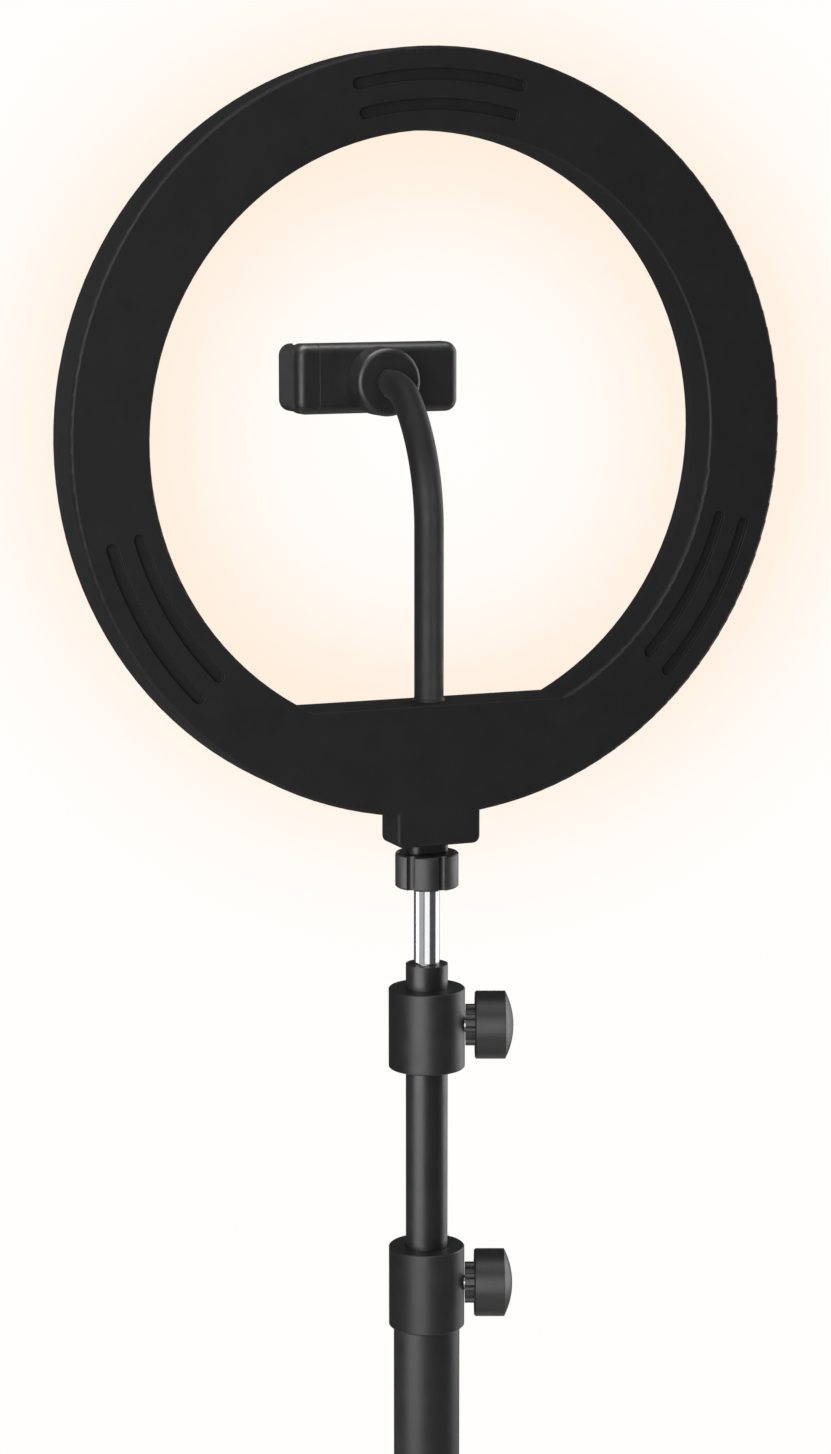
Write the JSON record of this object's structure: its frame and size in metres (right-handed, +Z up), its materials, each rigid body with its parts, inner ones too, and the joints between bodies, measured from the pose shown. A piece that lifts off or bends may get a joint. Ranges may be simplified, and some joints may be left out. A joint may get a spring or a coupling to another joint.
{
  "type": "ring light on stand",
  "caption": "Ring light on a telescopic folding tripod stand, with a gooseneck phone clamp rising inside the ring.",
  "frame": {"origin": "on the floor, on the column's axis, between the three feet", "axes": "+Z up along the column; the light shines towards -Y and its plain back faces +Y; +X completes a right-handed frame"},
  "size_m": [0.6476, 0.5614, 0.9825],
  "materials": {
    "ring_black": "fine moulded grain, matte",
    "bezel_black": "matte",
    "moulded_black": "satin",
    "tube_black": "satin powder coat",
    "leg_black": "satin powder coat",
    "plated_rod": "bright",
    "neck_black": "smooth, satin",
    "boot_rubber": "matte",
    "pad_foam": "matte foam",
    "milky_diffuser": "translucent, lit from behind",
    "reflector_white": "matte white",
    "board_white": "white solder mask",
    "board_green": "green solder mask",
    "led_yellow": "phosphor",
    "steel": "bright",
    "brass": "plain",
    "bush_nylon": "natural nylon"
  },
  "bodies": {
    "column": {"bottom_tube": "tube_black", "bottom_tube_bush": "moulded_black", "tube_end_cap": "moulded_black", "leg_hub": "moulded_black", "hub_pins": "steel", "collar_2": "moulded_black"},
    "mid": {"mid_tube": "tube_black", "mid_tube_bush": "moulded_black", "mid_tube_guide": "bush_nylon", "collar_1": "moulded_black"},
    "rod": {"top_rod": "plated_rod", "top_rod_guide": "bush_nylon"},
    "knob_1": {"knob_1": "moulded_black", "knob_1_screw": "steel"},
    "knob_2": {"knob_2": "moulded_black", "knob_2_screw": "steel"},
    "lock_nut": {"lock_nut": "moulded_black"},
    "knuckle": {"tilt_knuckle": "moulded_black", "knuckle_insert": "brass"},
    "head": {"rear_cover": "ring_black", "outer_bezel": "bezel_black", "inner_bezel": "bezel_black", "diffuser": "milky_diffuser", "reflector": "reflector_white", "led_board": "board_white", "leds": "led_yellow", "board_screws": "steel", "driver_board": "board_green", "cable_grommet": "boot_rubber", "tilt_pin": "steel", "neck_insert": "brass", "gooseneck_base": "neck_black"},
    "neck_lower": {"gooseneck_lower": "neck_black"},
    "neck_upper": {"gooseneck_upper": "neck_black"},
    "socket": {"ball_socket": "moulded_black"},
    "clamp": {"clamp_body": "moulded_black", "clamp_cover": "moulded_black", "clamp_pads": "pad_foam", "jaw_springs": "steel"},
    "jaw": {"clamp_jaw": "moulded_black", "jaw_rods": "steel", "jaw_clips": "steel", "jaw_pad": "pad_foam"},
    "brace_collar": {"brace_collar": "moulded_black", "collar_pins": "steel"},
    "brace_knob": {"brace_knob": "moulded_black", "brace_knob_screw": "steel"},
    "leg_1": {"leg_1": "leg_black", "foot_1": "boot_rubber", "brace_pin_1": "steel"},
    "brace_1": {"brace_1": "leg_black"},
    "leg_2": {"leg_2": "leg_black", "foot_2": "boot_rubber", "brace_pin_2": "steel"},
    "brace_2": {"brace_2": "leg_black"},
    "leg_3": {"leg_3": "leg_black", "foot_3": "boot_rubber", "brace_pin_3": "steel"},
    "brace_3": {"brace_3": "leg_black"}
  },
  "joints": [
    {"name": "mid_tube_slide", "type": "slide", "parent": "column", "child": "mid", "axis": [0, 0, 1], "range_m": [-0.075, 0.25]},
    {"name": "top_rod_slide", "type": "slide", "parent": "mid", "child": "rod", "axis": [0, 0, 1], "range_m": [-0.03, 0.2]},
    {"name": "knob_2_turn", "type": "hinge", "parent": "column", "child": "knob_2", "pos_m": [0, 0, 0.48425], "axis": [-0.9232, 0.3843, 0], "continuous": true},
    {"name": "knob_1_turn", "type": "hinge", "parent": "mid", "child": "knob_1", "pos_m": [0, 0, 0.5931], "axis": [-0.9232, 0.3843, 0], "continuous": true},
    {"name": "lock_nut_turn", "type": "hinge", "parent": "rod", "child": "lock_nut", "pos_m": [0, 0, 0.6506], "axis": [0, 0, 1], "continuous": true},
    {"name": "head_pan", "type": "hinge", "parent": "rod", "child": "knuckle", "pos_m": [0, 0, 0.6646], "axis": [0, 0, 1], "range_deg": [-180, 180]},
    {"name": "head_tilt", "type": "hinge", "parent": "knuckle", "child": "head", "pos_m": [0, 0, 0.675], "axis": [1, 0, 0], "range_deg": [-15, 60]},
    {"name": "gooseneck_bend_low", "type": "hinge", "parent": "head", "child": "neck_lower", "pos_m": [0, 0.002, 0.756], "axis": [1, 0, 0], "range_deg": [-30, 30]},
    {"name": "gooseneck_bend_high", "type": "hinge", "parent": "neck_lower", "child": "neck_upper", "pos_m": [0, -0.00684, 0.8278], "axis": [1, 0, 0], "range_deg": [-30, 30]},
    {"name": "clamp_tilt", "type": "hinge", "parent": "neck_upper", "child": "socket", "pos_m": [0, -0.04097, 0.85096], "axis": [1, 0, 0], "range_deg": [-18, 18]},
    {"name": "clamp_roll", "type": "hinge", "parent": "socket", "child": "clamp", "pos_m": [0, -0.04097, 0.85096], "axis": [0, 1, 0], "range_deg": [-90, 90]},
    {"name": "jaw_slide", "type": "slide", "parent": "clamp", "child": "jaw", "axis": [1, 0, 0], "range_m": [0, 0.022], "stiffness_N_per_m": 150, "springref_m": -0.03, "deforming": ["jaw_springs"]},
    {"name": "leg_1_fold", "type": "hinge", "parent": "column", "child": "leg_1", "pos_m": [0, -0.026, 0.282], "axis": [1, 0, 0], "range_deg": [0, 47]},
    {"name": "brace_1_fold", "type": "hinge", "parent": "leg_1", "child": "brace_1", "pos_m": [0, -0.1141, 0.20808], "axis": [1, 0, 0], "range_deg": [-94, 0]},
    {"name": "leg_2_fold", "type": "hinge", "parent": "column", "child": "leg_2", "pos_m": [0.02252, 0.013, 0.282], "axis": [-0.5, 0.866, 0], "range_deg": [0, 47]},
    {"name": "brace_2_fold", "type": "hinge", "parent": "leg_2", "child": "brace_2", "pos_m": [0.09881, 0.05705, 0.20808], "axis": [-0.5, 0.866, 0], "range_deg": [-94, 0]},
    {"name": "leg_3_fold", "type": "hinge", "parent": "column", "child": "leg_3", "pos_m": [-0.02252, 0.013, 0.282], "axis": [-0.5, -0.866, 0], "range_deg": [0, 47]},
    {"name": "brace_3_fold", "type": "hinge", "parent": "leg_3", "child": "brace_3", "pos_m": [-0.09881, 0.05705, 0.20808], "axis": [-0.5, -0.866, 0], "range_deg": [-94, 0]},
    {"name": "brace_collar_fold", "type": "hinge", "parent": "brace_1", "child": "brace_collar", "pos_m": [0, -0.026, 0.13416], "axis": [1, 0, 0], "range_deg": [0, 47]},
    {"name": "brace_knob_turn", "type": "hinge", "parent": "brace_collar", "child": "brace_knob", "pos_m": [0, 0, 0.13416], "axis": [0, 1, 0], "continuous": true}
  ],
  "couplings": [
    {"joint": "brace_1_fold", "follows": "leg_1_fold", "ratio": -2},
    {"joint": "leg_2_fold", "follows": "leg_1_fold", "ratio": 1},
    {"joint": "brace_2_fold", "follows": "leg_1_fold", "ratio": -2},
    {"joint": "leg_3_fold", "follows": "leg_1_fold", "ratio": 1},
    {"joint": "brace_3_fold", "follows": "leg_1_fold", "ratio": -2},
    {"joint": "brace_collar_fold", "follows": "leg_1_fold", "ratio": 1}
  ]
}
